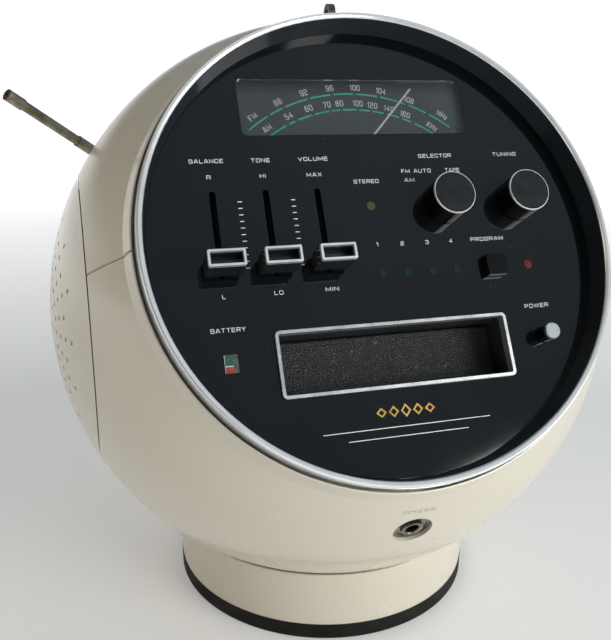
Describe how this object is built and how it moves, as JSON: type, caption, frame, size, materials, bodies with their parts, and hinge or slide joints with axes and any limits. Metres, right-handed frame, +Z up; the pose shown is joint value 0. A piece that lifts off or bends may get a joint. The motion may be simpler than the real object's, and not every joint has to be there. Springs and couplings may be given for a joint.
{
  "type": "8 track player",
  "caption": "Ball-shaped tape cartridge player with AM/FM tuner, tilted round control face, side speakers, rod antenna and a round pedestal.",
  "frame": {"origin": "centre of the foot's flat underside", "axes": "+Z up, the control face looks towards -Y and is tilted back, +X towards the right speaker as the user sees it"},
  "size_m": [0.3135, 0.3038, 0.3165],
  "materials": {
    "shell_plastic": "glossy ivory, faintly yellowed",
    "ring_metal": "polished, slightly dulled",
    "face_black": "glossy, lightly dusted",
    "window_plastic": "smoked clear plastic",
    "scale_plastic": "satin black with printed scales",
    "needle_white": "painted",
    "trim_plastic": "glossy",
    "flap_black": "leather grain",
    "inside_black": "moulded",
    "knob_black": "glossy",
    "bright_trim": "polished",
    "inside_metal": "zinc plated",
    "steel": "turned",
    "lamp_amber": "tinted lens",
    "lamp_teal": "tinted lens",
    "lamp_red": "tinted lens",
    "meter_plastic": "two-colour scale under a clear window",
    "jack_metal": "nickel plated, aged",
    "foot_rubber": "dusty",
    "inside_board": "pressed board",
    "aged_metal": "nickel plated, tarnished",
    "eye_plastic": "moulded",
    "brass": "turned",
    "belt_rubber": "smooth",
    "core_iron": "laminated",
    "speaker_black": "pressed frame and paper cone"
  },
  "bodies": {
    "case": {"upper_shell": "shell_plastic", "lower_shell": "shell_plastic", "left_speaker_cap": "shell_plastic", "right_speaker_cap": "shell_plastic", "front_ring": "ring_metal", "bezel_sleeve": "face_black", "face_plate": "face_black", "dial_window": "window_plastic", "dial_scale": "scale_plastic", "cartridge_trim": "trim_plastic", "cartridge_guide": "inside_black", "slide_controls": "inside_metal", "selector_switch": "inside_metal", "tuning_capacitor": "inside_metal", "stereo_lamp": "lamp_amber", "program_lamps": "lamp_teal", "pilot_lamp": "lamp_red", "battery_meter": "meter_plastic", "headphone_jack": "jack_metal", "pedestal": "shell_plastic", "rubber_foot": "foot_rubber", "base_plate": "inside_board", "pedestal_screws": "steel", "antenna_base": "inside_black", "hanging_eye": "eye_plastic", "deck_frame": "inside_metal", "drive_motor": "inside_metal", "drive_belt": "belt_rubber", "playback_head": "steel", "power_transformer": "core_iron", "circuit_board": "inside_board", "chassis_plate": "inside_metal", "left_speaker": "speaker_black", "right_speaker": "speaker_black", "battery_tray": "inside_black", "rear_socket_panel": "inside_black"},
    "balance_slider": {"balance_knob": "knob_black", "balance_knob_trim": "bright_trim"},
    "tone_slider": {"tone_knob": "knob_black", "tone_knob_trim": "bright_trim"},
    "volume_slider": {"volume_knob": "knob_black", "volume_knob_trim": "bright_trim"},
    "selector": {"selector_knob": "knob_black", "selector_knob_cap": "bright_trim", "selector_shaft": "steel"},
    "tuner": {"tuning_knob": "knob_black", "tuning_knob_cap": "bright_trim", "tuning_shaft": "steel"},
    "needle": {"dial_needle": "needle_white"},
    "program_key": {"program_button": "knob_black"},
    "power_key": {"power_button": "knob_black", "power_button_cap": "bright_trim"},
    "flap": {"cartridge_door": "flap_black"},
    "antenna_fork": {"antenna_knuckle": "aged_metal"},
    "antenna_tube": {"antenna_outer_tube": "aged_metal"},
    "antenna_middle": {"antenna_middle_tube": "aged_metal"},
    "antenna_rod": {"antenna_inner_rod": "aged_metal"},
    "battery_cover": {"battery_door": "shell_plastic"},
    "flywheel": {"capstan_flywheel": "steel"},
    "motor_shaft": {"motor_pulley": "brass"}
  },
  "joints": [
    {"name": "balance_slide", "type": "slide", "parent": "case", "child": "balance_slider", "axis": [0, 0.515, 0.8572], "range_m": [-0.001, 0.032]},
    {"name": "tone_slide", "type": "slide", "parent": "case", "child": "tone_slider", "axis": [0, 0.515, 0.8572], "range_m": [-0.001, 0.032]},
    {"name": "volume_slide", "type": "slide", "parent": "case", "child": "volume_slider", "axis": [0, 0.515, 0.8572], "range_m": [-0.001, 0.032]},
    {"name": "selector_turn", "type": "hinge", "parent": "case", "child": "selector", "pos_m": [0.0332, -0.07385, 0.22526], "axis": [0, -0.8572, 0.515], "range_deg": [-34, 34]},
    {"name": "tuning_turn", "type": "hinge", "parent": "case", "child": "tuner", "pos_m": [0.0713, -0.07385, 0.22526], "axis": [0, -0.8572, 0.515], "range_deg": [-15, 470]},
    {"name": "needle_turn", "type": "hinge", "parent": "case", "child": "needle", "pos_m": [-0.0036, -0.05704, 0.24625], "axis": [0, -0.8572, 0.515], "range_deg": [-4, 96]},
    {"name": "program_press", "type": "slide", "parent": "case", "child": "program_key", "axis": [0, 0.8572, -0.515], "range_m": [0, 0.003], "stiffness_N_per_m": 300, "springref_m": -0.002},
    {"name": "power_press", "type": "slide", "parent": "case", "child": "power_key", "axis": [0, 0.8572, -0.515], "range_m": [0, 0.003], "stiffness_N_per_m": 300, "springref_m": -0.002},
    {"name": "cartridge_door_swing", "type": "hinge", "parent": "case", "child": "flap", "pos_m": [-0.0015, -0.0898, 0.16707], "axis": [1, 0, 0], "range_deg": [0, 85], "stiffness_Nm_per_rad": 0.004, "springref_deg": -17.19},
    {"name": "antenna_swivel", "type": "hinge", "parent": "case", "child": "antenna_fork", "pos_m": [-0.048, 0.15105, 0.18288], "axis": [-0.3, 0.9441, 0.1368], "range_deg": [-20, 130]},
    {"name": "antenna_tilt", "type": "hinge", "parent": "antenna_fork", "child": "antenna_tube", "pos_m": [-0.048, 0.15105, 0.18288], "axis": [-0.5753, -0.0647, -0.8154], "range_deg": [-1, 95]},
    {"name": "antenna_middle_slide", "type": "slide", "parent": "antenna_tube", "child": "antenna_middle", "axis": [-0.6988, -0.4793, 0.531], "range_m": [-0.038, 0.045]},
    {"name": "antenna_rod_slide", "type": "slide", "parent": "antenna_middle", "child": "antenna_rod", "axis": [-0.6988, -0.4793, 0.531], "range_m": [0, 0.055]},
    {"name": "battery_door_lift", "type": "slide", "parent": "case", "child": "battery_cover", "axis": [0, 1, 0], "range_m": [0, 0.06]},
    {"name": "flywheel_spin", "type": "hinge", "parent": "case", "child": "flywheel", "pos_m": [-0.04, -0.01806, 0.08435], "axis": [0, 0.515, 0.8572], "continuous": true},
    {"name": "motor_spin", "type": "hinge", "parent": "case", "child": "motor_shaft", "pos_m": [0.042, -0.00794, 0.08177], "axis": [0, 0.515, 0.8572], "continuous": true}
  ],
  "couplings": [
    {"joint": "needle_turn", "follows": "tuning_turn", "ratio": 0.2},
    {"joint": "motor_spin", "follows": "flywheel_spin", "ratio": 6.3333}
  ]
}
